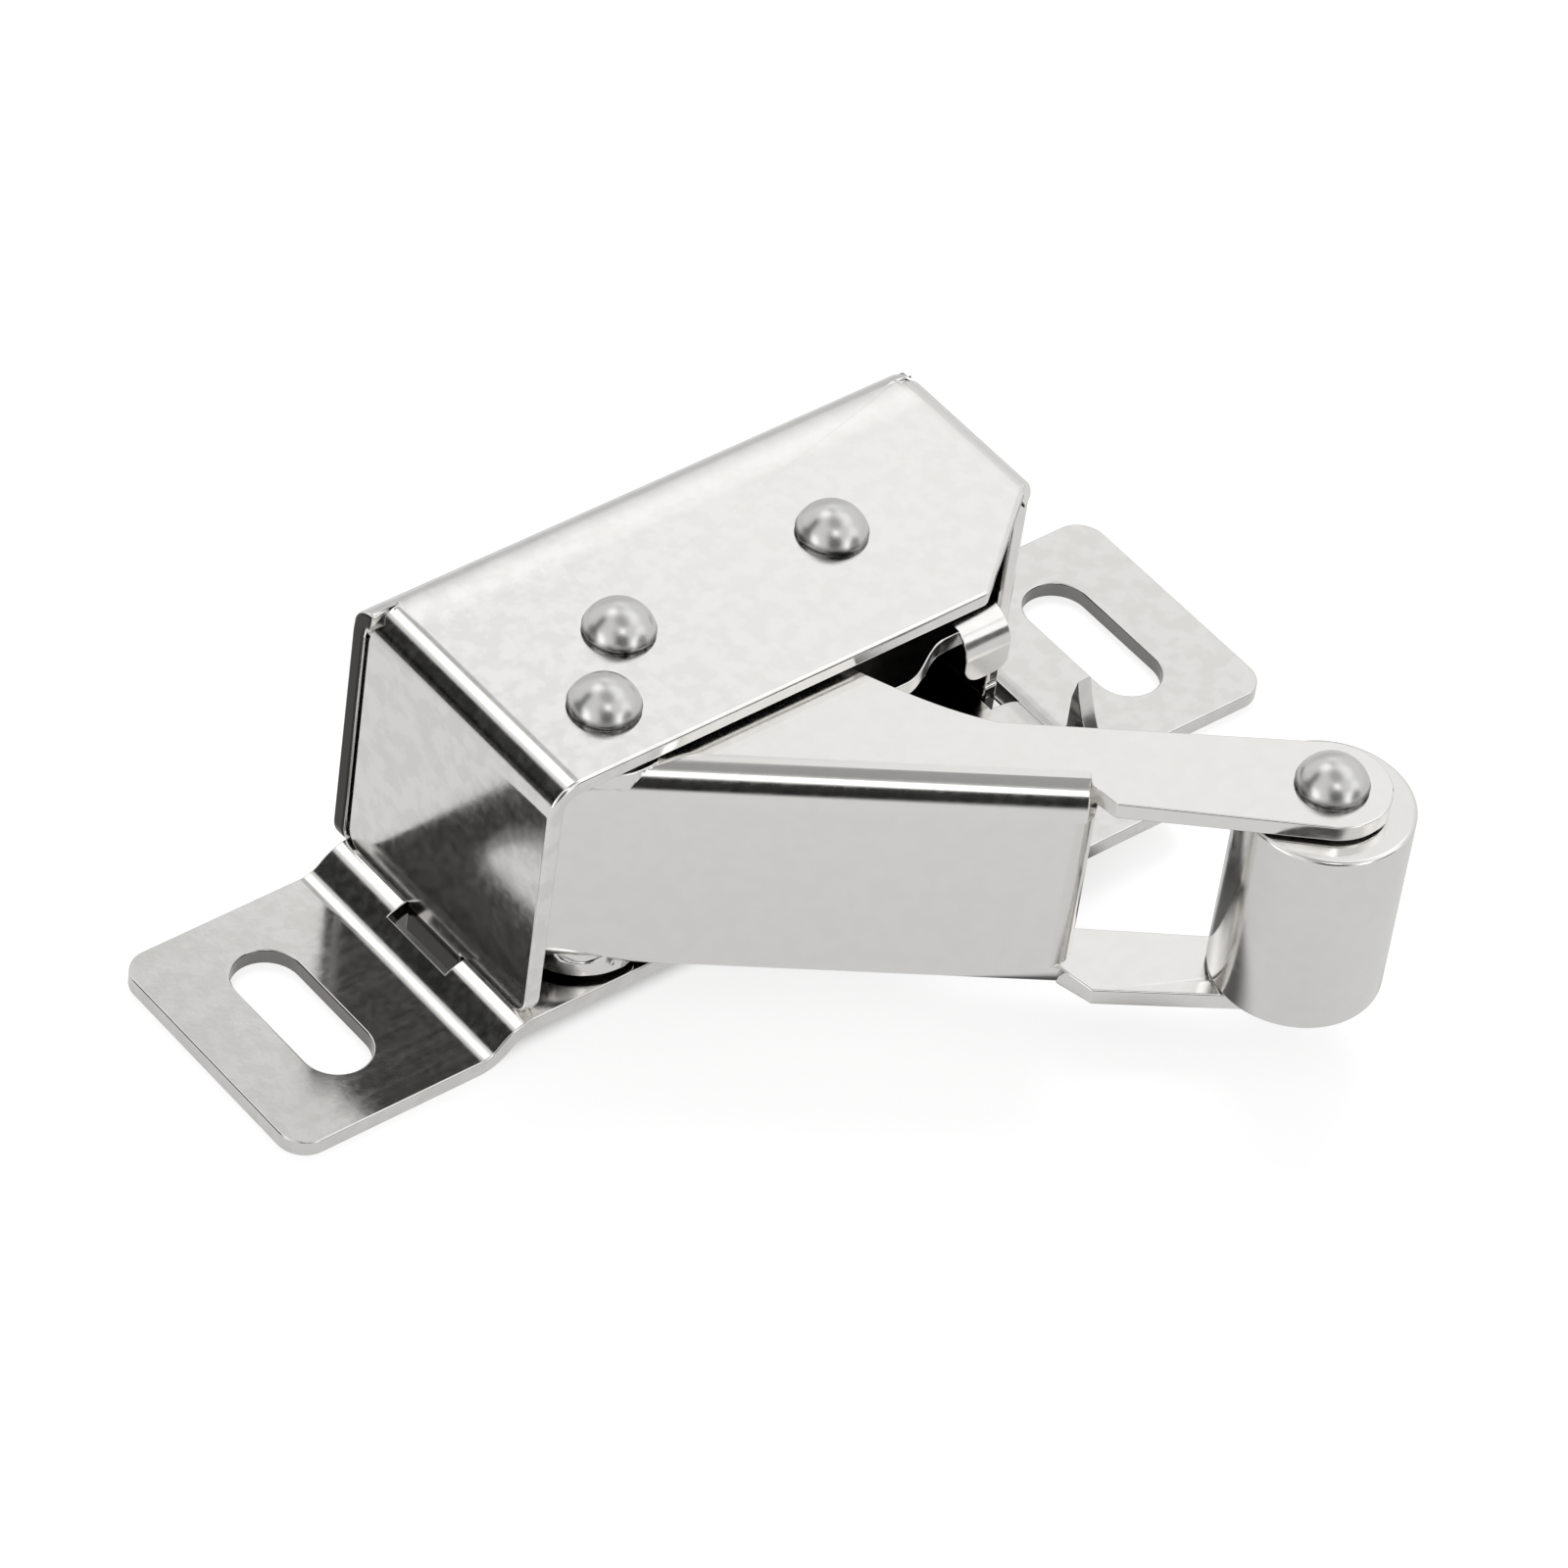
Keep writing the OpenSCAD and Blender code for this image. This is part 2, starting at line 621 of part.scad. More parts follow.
// Arm spring: one leg in front of the stop post, the other along the inside of the web
module arm_spring() {
    r = web_in - arm_wire / 2 - spring_gap;
    post = (spacer_d + arm_wire) / 2 + spring_gap;
    from = 45 + arm_open + acos((r + post) / stop_dist);
    z0 = lever_top + 1;
    z1 = z0 + (arm_wire + wire_gap) * arm_turns;
    color(dark) in_arm() wire(concat([leg([0, 0], r, from, from - 90, post_leg, z0)],
        coil([0, 0], r, from, 360 * arm_turns - 90, z0, z1), [leg([0, 0], r, -90, 0, web_leg, z1)]), arm_wire / 2);
}

// Lever spring: one leg along the back wall, the other hooked down behind the trigger plate
module lever_spring() {
    r = (spacer_d + lever_wire) / 2 + spring_gap + 0.2;
    from = 45;
    z0 = lever_top + lever_wire / 2 + wire_gap;
    z1 = z0 + (lever_wire + wire_gap) * lever_turns;
    wall = back_in - lever_wire / 2 - spring_gap;
    reach = (wall - lever_y - r * sin(from)) / sin(from);
    hook = [lever_x + hook_reach, lever_back + lever_wire / 2 + spring_gap];
    corner = leg(lever_at, r, from, from + 90, reach, z0);
    color(dark) wire(concat([[corner[0] - wall_leg, wall, z0], [corner[0] - 0.3, wall, z0],
        leg(lever_at, r, from, from + 90, reach - 0.4, z0)],
        coil(lever_at, r, from, 90 - 360 * lever_turns, z0, z1),
        [[hook[0] - 0.4, hook[1], z1], [hook[0], hook[1], z1 - 0.4], [hook[0], hook[1], lever_low]]),
        lever_wire / 2);
}

base_plate();
cover();
swing_arm();
roller();
roller_bush();
roller_rivet();
arm_rivet();
arm_sleeve();
arm_washer_low();
arm_washer_top();
stop_rivet();
stop_spacer_low();
stop_spacer_top();
lever_rivet();
lever_spacer_low();
lever_spacer_top();
catch_lever();
latch_pin();
arm_spring();
lever_spring();
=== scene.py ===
"""Roller touch latch: studio picture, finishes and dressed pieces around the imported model."""
import math

import bmesh
import bpy
from mathutils import Matrix, Vector
from mathutils.bvhtree import BVHTree


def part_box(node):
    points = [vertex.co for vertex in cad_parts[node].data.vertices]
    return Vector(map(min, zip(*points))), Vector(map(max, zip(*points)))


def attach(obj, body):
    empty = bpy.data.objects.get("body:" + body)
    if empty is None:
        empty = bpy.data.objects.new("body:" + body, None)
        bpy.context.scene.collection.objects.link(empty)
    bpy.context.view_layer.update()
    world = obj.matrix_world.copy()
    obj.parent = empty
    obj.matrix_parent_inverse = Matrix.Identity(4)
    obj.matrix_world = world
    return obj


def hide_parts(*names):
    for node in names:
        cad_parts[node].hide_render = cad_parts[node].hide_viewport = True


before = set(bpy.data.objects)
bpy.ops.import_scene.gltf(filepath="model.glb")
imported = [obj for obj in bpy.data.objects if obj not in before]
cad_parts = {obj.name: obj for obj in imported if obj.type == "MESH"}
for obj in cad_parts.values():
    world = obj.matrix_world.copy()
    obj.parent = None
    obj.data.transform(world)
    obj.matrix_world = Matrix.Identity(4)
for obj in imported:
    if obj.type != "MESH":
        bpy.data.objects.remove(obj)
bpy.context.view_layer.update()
MM = 0.001
UP = Vector((0, 0, 1))

# ---------------------------------------------------------------- studio values
# camera, solved from the photo's perspective
EYE = Vector((-283.456, -297.262, 393.998)) * MM
EYE_RIGHT = Vector((0.77977267, -0.61658188, 0.108542))
EYE_UP = Vector((0.36731611, 0.59096745, 0.71821748))
EYE_BACK = Vector((-0.50698467, -0.52017714, 0.68730072))
LENS = 201.58
SENSOR = 36.0

# soft zones of the studio as metal sees it: direction, cosine where it starts, where it is full,
# level against the sky
SKY = 0.80
ZONES = (
    ((-0.43, -0.79, 0.43), 0.92, 0.965, 0.03),
    ((-0.49, -0.87, 0.00), 0.84, 0.95, 0.55),
    ((0.50, -0.86, 0.08), 0.94, 0.975, 0.10),
    ((0.03, -0.13, 0.99), 0.90, 0.985, 0.42),
    ((-0.27, -0.55, 0.79), 0.982, 0.9965, 3.2),
    ((-0.507, -0.52, 0.687), 0.95, 0.985, 0.50),
    ((-0.83, 0.52, -0.04), 0.88, 0.95, 0.05),
    ((0.02, 0.52, 0.85), 0.965, 0.99, 1.9),
    ((0.33, 0.52, 0.79), 0.985, 0.996, 0.55),
    ((-0.98, 0.10, 0.12), 0.92, 0.98, 2.3),
    ((0.25, -0.95, 0.18), 0.94, 0.985, 2.3),
    ((0.61, -0.66, 0.44), 0.94, 0.98, 1.5),
    ((0.507, 0.52, 0.687), 0.93, 0.985, 1.17),
    ((0.507, 0.66, 0.55), 0.985, 0.996, 1.12),
    ((0.507, -0.10, 0.85), 0.90, 0.97, 1.5),
    ((0.50, 0.86, -0.05), 0.80, 0.96, 0.72),
)
# dark flag beside the object: its middle, cosine where it starts and where it is full, half
# width across where it ends and where it is full, level
FLAG = ((-0.66, 0.52, 0.54), 0.905, 0.95, 0.17, 0.10, 0.02)
# the world's strength for soft light on the object
AMBIENT = 0.75

# floor: height, half size, and the painted shadow under the strap with its fade
FLOOR_Z = -0.02 * MM
FLOOR_SIZE = 3.0
SHADOW_FADE = 1.2 * MM
SHADOW_HALF_X, SHADOW_HALF_Y = 23.0 * MM, 8.4 * MM
# its paper for soft light, for the camera and for metal
PAPER, PAPER_SEEN, PAPER_METAL = (0.80, 0.80, 0.79), (0.34, 0.34, 0.34), (0.08, 0.08, 0.08)
# its glow for the camera, under the strap (a painted shadow) and in the open
GLOW_SEEN = (0.02, 0.72)
# its glow for metal, in the shade beside the roller and in the open
GLOW_METAL = (0.05, 0.60)
SHADE_AT, SHADE_SIZE, SHADE_RIM = (13.0 * MM, -20.0 * MM), (8.0 * MM, 14.0 * MM), (0.6, 1.3)

# lamps: place, diameter, watts
LAMPS = {
    "key_lamp": ((0.35, 0.45, 0.75), 0.6, 5.0),
    "fill_lamp": ((-0.7, -0.5, 0.6), 0.6, 2.5),
}

# ---------------------------------------------------------------- sheet values
# sheet pieces: body, how far the blanked edges are rolled over, finish
SHEETS = {
    "base_plate": ("housing", 0.12 * MM, "strap"),
    "cover": ("housing", 0.28 * MM, "cover"),
    "swing_arm": ("arm", 0.12 * MM, "arm"),
    "catch_lever": ("lever", 0.12 * MM, "lever"),
}

# sizes of the solids: sheet, strap, the cover's bevelled corner and roof
SHEET = 1.2 * MM
STRAP_TOP = 3.0 * MM
BEVEL_X, BEVEL_Y = 10.0 * MM, 7.5 * MM
ROOF_Z = 22.0 * MM
# areas of the strap around the screw slots, the tab slots and the face of the stop lug
SLOT_X, SLOT_HALF, SLOT_REACH = 32.6 * MM, 2.7 * MM, 6.2 * MM
TAB_X, TAB_REACH, TAB_SIDE = 22.2 * MM, 1.3 * MM, 3.2 * MM
LUG_X = (26.0 * MM, 26.4 * MM)
# folds: outside and inside radius, and where those of the strap, the arm and the lever lie
FOLD = 1.7 * MM
FOLD_IN = 0.5 * MM
JOGGLE = math.radians(45)
FOOT_X = 25.111 * MM
ARM_OPEN = math.radians(35.7)
WEB_OUT = 4.37 * MM
LIP_X, LIP_Y = 13.0 * MM, -4.05 * MM

# how much rounder the pressed sheet is at its folds
SOFT_COVER = 0.6 * MM
SOFT_BACK = 0.15 * MM
SOFT_ARM = 0.6 * MM
SOFT_JOGGLE = 1.6 * MM
SOFT_LIP = 0.5 * MM
# room for points that belong to a fold, and the stretch of the arm's slits that follows it
TOLERANCE = 0.02 * MM
WEDGE_ROOM = 0.01
EASE = 1.5 * MM

# the roof falls gently over these rows before its back fold
FALL = math.radians(10)
FALL_ROWS = (0.4 * MM, 1.0 * MM, 1.7 * MM, 2.6 * MM)
FALL_POWER = 1.5
ROOF_UP = 0.99

# clean-up of the solids' meshes: points that join, edges that are straight, slivers, seams, cuts
WELD = 0.02 * MM
STRAIGHT = math.radians(0.6)
SLIVER = 2e-6
SEAM = 1e-6
CUT = 1e-7
# rolled edges: steps, which edges count, and how far in rolls a point may leave the solid
ROLL_STEPS = 4
SHARP_EDGE = math.radians(30)
STRAY = 0.75
# corner normals: smallest face that counts, cosines within one flat and across a soft corner
SPECK = 1e-11
FLATNESS = math.cos(math.radians(0.8))
CREASE = math.cos(math.radians(50))
# part of a normal along an axis from which a face counts as facing that way
FACING = 0.9

# ---------------------------------------------------------------- rivet and ring values
HEAD = 4.8 * MM
HEAD_HEIGHT = 2.0 * MM
HEAD_RIM = 0.26 * MM
# height of the painted shade at the foot of each dome
HEAD_SHADE = 0.40 * MM
SHANK = 3.0 * MM
TAIL = 4.4 * MM
TAIL_DOME = 0.9 * MM
TAIL_FLAT = 0.35 * MM
# rivets: body, height of the closing head
RIVETS = {
    "arm_rivet": ("housing", TAIL_DOME),
    "stop_rivet": ("housing", TAIL_DOME),
    "lever_rivet": ("housing", TAIL_DOME),
    "roller_rivet": ("arm", TAIL_FLAT),
}

# turned pieces: body, bore, edge rounding, finish
TURNED = {
    "roller": ("roller", 4.12 * MM, 0.3 * MM, "roller"),
    "roller_bush": ("arm", 3.06 * MM, 0.12 * MM, "turned"),
    "arm_sleeve": ("housing", 3.06 * MM, 0.12 * MM, "turned"),
    "arm_washer_low": ("housing", 4.06 * MM, 0.1 * MM, "turned"),
    "arm_washer_top": ("housing", 4.06 * MM, 0.1 * MM, "turned"),
    "stop_spacer_low": ("housing", 3.06 * MM, 0.12 * MM, "turned"),
    "stop_spacer_top": ("housing", 3.06 * MM, 0.12 * MM, "turned"),
    "lever_spacer_low": ("housing", 3.06 * MM, 0.12 * MM, "turned"),
    "lever_spacer_top": ("housing", 3.06 * MM, 0.12 * MM, "turned"),
}

# steps round the axis and along the round parts of a profile
SEGMENTS = 96
DOME_STEPS, TAIL_STEPS, TUCK_STEPS, EDGE_STEPS = 24, 12, 5, 6
COS_45 = math.sqrt(0.5)
SHARP_TURNED = math.radians(50)

# arm spring: wire and the coil's outer radius
WIRE = 0.7 * MM
COIL_OUT = 5.5 * MM

# ---------------------------------------------------------------- finish values
# finish: colour, painted highlight on rolled edges, painted shade on inner faces, roughness, bump
# of the grain
FINISHES = {
    "cover": ((0.84, 0.825, 0.80), (0.90, 0.89, 0.87), (0.05, 0.048, 0.045), 0.10, 0.02),
    "strap": ((0.69, 0.675, 0.65), (0.80, 0.79, 0.77), (0.03, 0.029, 0.027), 0.10, 0.05),
    "arm": ((0.85, 0.84, 0.815), (0.88, 0.87, 0.85), (0.16, 0.155, 0.15), 0.12, 0.02),
    "lever": ((0.80, 0.79, 0.77), (0.86, 0.85, 0.83), (0.10, 0.095, 0.09), 0.14, 0.02),
    # the domes' rim colour is painted shade at their foot and under their rim
    "dome": ((0.68, 0.675, 0.665), (0.02, 0.02, 0.02), (0.05, 0.05, 0.05), 0.27, 0.0),
    "roller": ((0.82, 0.81, 0.79), (0.87, 0.865, 0.845), (0.10, 0.10, 0.10), 0.13, 0.02),
    "turned": ((0.16, 0.155, 0.15), (0.20, 0.195, 0.19), (0.06, 0.06, 0.06), 0.35, 0.03),
    "wire": ((0.30, 0.29, 0.28), (0.30, 0.29, 0.28), (0.10, 0.10, 0.10), 0.30, 0.02),
}
# finishes with the shade of the cover's room
ROOMY = ("strap", "cover")
# the cover's colour is darker towards its left end
DARKER_FROM, DARKER_TO = -24.0 * MM, 6.0 * MM
# how dark clouds, the darker left end and specks are, and how much of a speck shows
CLOUD_TINT, DARKER_TINT, SPECK_TINT, SPECK_SHARE = 0.99, 0.86, 0.45, 0.5
# how much cloud, grain and rolling lines change the roughness, and the height of the grain
CLOUD_ROUGH, GRAIN_ROUGH, LINE_ROUGH = 0.06, 0.04, 0.03
GRAIN_HEIGHT = 0.02 * MM
DOME_METALLIC = 0.9
# shade of the stop lug's face and of the screw slots' walls
LUG_SHADE, SLOT_SHADE = 0.9, 0.7
# shade in the cover: depth over which it grows, steepness at the ends, fade at the strap's top
ROOM_FADE = 1.5 * MM
END_STEEPNESS = 4.0
TAB_FADE = 0.1 * MM


class Nodes:
    """Short way to place and wire nodes in a tree."""

    def __init__(self, tree):
        self.tree = tree

    def add(self, kind, **settings):
        node = self.tree.nodes.new(kind)
        for key, value in settings.items():
            if key in node.bl_rna.properties:
                setattr(node, key, value)
            else:
                node.inputs[key].default_value = value
        return node

    def put(self, value, socket):
        if isinstance(value, bpy.types.NodeSocket):
            self.tree.links.new(value, socket)
        elif isinstance(value, tuple) and len(value) == 3 and socket.type == "RGBA":
            socket.default_value = (*value, 1.0)
        else:
            socket.default_value = value

    def math(self, op, a, b=None, c=None):
        node = self.tree.nodes.new("ShaderNodeMath")
        node.operation = op
        for i, v in enumerate((a, b, c)):
            if v is not None:
                self.put(v, node.inputs[i])
        return node.outputs[0]

    def blend(self, fac, a, b):
        node = self.tree.nodes.new("ShaderNodeMix")
        node.data_type = "RGBA"
        for i, v in ((0, fac), (6, a), (7, b)):
            self.put(v, node.inputs[i])
        return node.outputs[2]

    def ramp(self, value, lo, hi, out_lo=0.0, out_hi=1.0):
        node = self.tree.nodes.new("ShaderNodeMapRange")
        node.interpolation_type = "SMOOTHSTEP"
        for i, v in enumerate((value, lo, hi, out_lo, out_hi)):
            self.put(v, node.inputs[i])
        return node.outputs[0]

    def vector(self, x, y, z):
        node = self.tree.nodes.new("ShaderNodeCombineXYZ")
        for i, v in enumerate((x, y, z)):
            self.put(v, node.inputs[i])
        return node.outputs[0]

    def apart(self, vector):
        """Sockets X, Y and Z of a vector."""
        node = self.tree.nodes.new("ShaderNodeSeparateXYZ")
        self.put(vector, node.inputs[0])
        return node.outputs

    def cosine(self, way, direction):
        """Cosine between a ray's way and a fixed direction."""
        node = self.add("ShaderNodeVectorMath", operation="DOT_PRODUCT")
        self.put(way, node.inputs[0])
        node.inputs[1].default_value = Vector(direction).normalized()
        return node.outputs["Value"]

    def rays(self):
        """Whether the ray is the camera's, and whether metal or glass sent it."""
        path = self.add("ShaderNodeLightPath").outputs
        mirrored = self.math("MAXIMUM", path["Is Glossy Ray"], path["Is Transmission Ray"])
        return path["Is Camera Ray"], mirrored

    def place(self):
        """Place on a piece, in its own coordinates."""
        return self.add("ShaderNodeTexCoord").outputs["Object"]

    def attribute(self, name):
        return self.add("ShaderNodeAttribute", attribute_name=name).outputs["Fac"]

    def noise(self, place, scale, **settings):
        node = self.add("ShaderNodeTexNoise", **settings)
        self.put(place, node.inputs["Vector"])
        self.put(scale, node.inputs["Scale"])
        return node.outputs[0]


# ---------------------------------------------------------------- studio
def add_camera():
    data = bpy.data.cameras.new("photo_camera")
    data.lens = LENS
    data.sensor_width = SENSOR
    data.clip_start = 0.01
    cam = bpy.data.objects.new("photo_camera", data)
    axes = Matrix((EYE_RIGHT, EYE_UP, EYE_BACK)).transposed().to_4x4()
    cam.matrix_world = Matrix.Translation(EYE) @ axes
    bpy.context.scene.collection.objects.link(cam)
    bpy.context.scene.camera = cam


def add_world():
    world = bpy.data.worlds.new("studio")
    bpy.context.scene.world = world
    world.use_nodes = True
    tree = world.node_tree
    tree.nodes.clear()
    n = Nodes(tree)

    def background(strength):
        node = n.add("ShaderNodeBackground")
        node.inputs["Color"].default_value = (1.0, 1.0, 1.0, 1.0)
        n.put(strength, node.inputs["Strength"])
        return node.outputs[0]

    def mix(fac, a, b):
        node = n.add("ShaderNodeMixShader")
        for value, socket in zip((fac, a, b), node.inputs):
            n.put(value, socket)
        return node.outputs[0]

    way = n.add("ShaderNodeTexCoord").outputs["Generated"]
    level = SKY
    for direction, start, full, value in ZONES:
        zone = n.ramp(n.cosine(way, direction), start, full, 1.0, value)
        level = n.math("MULTIPLY", level, zone)
    middle, start, full, wide, narrow, value = FLAG
    across = n.math("ABSOLUTE", n.math("SUBTRACT", n.apart(way)["Y"], middle[1]))
    flag = n.math("MULTIPLY", n.ramp(n.cosine(way, middle), start, full),
                  n.ramp(across, wide, narrow))
    level = n.math("MULTIPLY", level, n.math("MULTIPLY_ADD", flag, value - 1.0, 1.0))
    camera, mirrored = n.rays()
    light = mix(mirrored, background(AMBIENT), background(level))
    n.put(mix(camera, light, background(1.0)), n.add("ShaderNodeOutputWorld").inputs[0])


def add_floor():
    mesh = bpy.data.meshes.new("floor")
    corners = [(sx * FLOOR_SIZE, sy * FLOOR_SIZE, FLOOR_Z)
               for sx, sy in ((-1, -1), (1, -1), (1, 1), (-1, 1))]
    mesh.from_pydata(corners, [], [(0, 1, 2, 3)])
    floor = bpy.data.objects.new("floor", mesh)
    bpy.context.scene.collection.objects.link(floor)
    mat = bpy.data.materials.new("floor_paper")
    mat.use_nodes = True
    tree = mat.node_tree
    tree.nodes.clear()
    n = Nodes(tree)
    camera, mirrored = n.rays()
    paper = n.add("ShaderNodeBsdfDiffuse")
    n.put(n.blend(mirrored, n.blend(camera, PAPER, PAPER_SEEN), PAPER_METAL), paper.inputs["Color"])
    spot = n.apart(n.place())
    # painted shadow on the floor under the strap, as the camera sees it
    over_x = n.math("SUBTRACT", n.math("ABSOLUTE", spot["X"]), SHADOW_HALF_X)
    over_y = n.math("SUBTRACT", n.math("ABSOLUTE", spot["Y"]), SHADOW_HALF_Y)
    seen_with_shadow = n.ramp(n.math("MAXIMUM", over_x, over_y), -SHADOW_FADE, SHADOW_FADE, *GLOW_SEEN)
    near_x = n.math("DIVIDE", n.math("SUBTRACT", spot["X"], SHADE_AT[0]), SHADE_SIZE[0])
    near_y = n.math("DIVIDE", n.math("SUBTRACT", spot["Y"], SHADE_AT[1]), SHADE_SIZE[1])
    away = n.math("ADD", n.math("MULTIPLY", near_x, near_x), n.math("MULTIPLY", near_y, near_y))
    in_metal = n.ramp(away, *SHADE_RIM, *GLOW_METAL)
    glow = n.add("ShaderNodeEmission")
    n.put(n.math("ADD", n.math("MULTIPLY", camera, seen_with_shadow), n.math("MULTIPLY", mirrored, in_metal)),
          glow.inputs["Strength"])
    both = n.add("ShaderNodeAddShader")
    n.put(paper.outputs[0], both.inputs[0])
    n.put(glow.outputs[0], both.inputs[1])
    n.put(both.outputs[0], n.add("ShaderNodeOutputMaterial").inputs[0])
    mesh.materials.append(mat)


def add_lamps():
    """Round lamps that look at the middle; metal sees the world instead of them."""
    for name, (place, size, watts) in LAMPS.items():
        data = bpy.data.lights.new(name, "AREA")
        data.shape = "DISK"
        data.size = size
        data.energy = watts
        lamp = bpy.data.objects.new(name, data)
        place = Vector(place)
        turn = (-place).to_track_quat("-Z", "Y").to_matrix().to_4x4()
        lamp.matrix_world = Matrix.Translation(place) @ turn
        lamp.visible_glossy = False
        bpy.context.scene.collection.objects.link(lamp)


# ---------------------------------------------------------------- finishes
def shader_group(name, inputs, outputs):
    tree = bpy.data.node_groups.new(name, "ShaderNodeTree")
    for key, value in inputs.items():
        socket = tree.interface.new_socket(key, in_out="INPUT", socket_type="NodeSocketFloat")
        socket.default_value = value
    for key in outputs:
        tree.interface.new_socket(key, in_out="OUTPUT", socket_type="NodeSocketFloat")
    n = Nodes(tree)
    return tree, n, n.add("NodeGroupInput").outputs, n.add("NodeGroupOutput").inputs


def build_grain():
    """Fine mottled grain of plated sheet over a slow cloud."""
    sizes = {"Scale": 1800.0, "Cloud": 90.0}
    tree, n, get, out = shader_group("plate_grain", sizes, ("Grain", "Cloud"))
    place = n.place()
    fine = n.noise(place, get["Scale"], Detail=4.0, Roughness=0.65)
    slow = n.noise(place, get["Cloud"], Detail=3.0, Roughness=0.55, Distortion=0.6)
    n.put(n.ramp(fine, 0.3, 0.7), out["Grain"])
    n.put(n.ramp(slow, 0.32, 0.68), out["Cloud"])
    return tree


def build_marks():
    """Faint lines from rolling, sparse specks, and a colour that darkens towards the left end."""
    sizes = {"Scale": 1500.0, "Specks": 260.0}
    tree, n, get, out = shader_group("rolling_marks", sizes, ("Lines", "Speck", "Darker Left"))
    place = n.place()
    n.put(n.ramp(n.apart(place)["X"], DARKER_FROM, DARKER_TO, 1.0, 0.0), out["Darker Left"])
    stretch = n.add("ShaderNodeMapping", Rotation=(0.0, 0.0, 0.02), Scale=(0.02, 1.0, 1.0))
    n.put(place, stretch.inputs["Vector"])
    line = n.noise(stretch.outputs[0], get["Scale"], Detail=3.0, Roughness=0.7)
    n.put(n.ramp(line, 0.35, 0.65), out["Lines"])
    cells = n.add("ShaderNodeTexVoronoi")
    n.put(place, cells.inputs["Vector"])
    n.put(get["Specks"], cells.inputs["Scale"])
    few = n.add("ShaderNodeSeparateColor")
    n.put(cells.outputs["Color"], few.inputs[0])
    n.put(n.math("MULTIPLY", n.ramp(cells.outputs["Distance"], 0.02, 0.05, 1.0, 0.0),
                 n.ramp(few.outputs[0], 0.90, 0.92)), out["Speck"])
    return tree


def build_rim():
    """Painted highlight on a piece's rolled edges (painted shade at a dome's foot), broken up a
    little at random, and painted shade on its inner faces.
    """
    sizes = {"Scale": 700.0, "Breakup": 0.4}
    tree, n, get, out = shader_group("rim_highlight_and_inner_shade", sizes, ("Rim", "Inside"))
    patchy = n.ramp(n.noise(n.place(), get["Scale"], Detail=3.0), 0.4, 0.6)
    keep = n.math("SUBTRACT", 1.0, n.math("MULTIPLY", get["Breakup"], patchy))
    n.put(n.math("MULTIPLY", n.attribute("rim"), keep), out["Rim"])
    n.put(n.attribute("inside"), out["Inside"])
    return tree


def build_room():
    """Shade inside the cover, which falls off at its open front and at its bevelled corner.

    Tab is the shade of what lies in the strap's tab slots, below the top of the strap.
    """
    tree, n, get, out = shader_group("cover_room", {"Fade": ROOM_FADE}, ("Room", "Tab"))
    low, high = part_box("cover")
    spot = n.apart(n.place())
    x, y = spot["X"], spot["Y"]
    side = n.math("SUBTRACT", high.x - SHEET, n.math("ABSOLUTE", x))
    front = n.math("SUBTRACT", y, low.y)
    across = n.math("MULTIPLY", front, BEVEL_X)
    along = n.math("MULTIPLY", n.math("SUBTRACT", x, high.x - BEVEL_X), BEVEL_Y)
    slant = n.math("DIVIDE", n.math("SUBTRACT", across, along), math.hypot(BEVEL_X, BEVEL_Y))
    deep = n.math("MINIMUM", n.math("MINIMUM", front, slant),
                  n.math("MULTIPLY", side, END_STEEPNESS))
    n.put(n.ramp(deep, 0.0, get["Fade"]), out["Room"])
    below = n.ramp(spot["Z"], STRAP_TOP, STRAP_TOP - TAB_FADE)
    at_tab = n.math("LESS_THAN", n.math("ABSOLUTE", y), TAB_SIDE)
    n.put(n.math("MULTIPLY", below, at_tab), out["Tab"])
    return tree


GROUPS = {"grain": build_grain(), "marks": build_marks(), "rim": build_rim(), "room": build_room()}


def tint(colour, share):
    return tuple(c * share for c in colour)


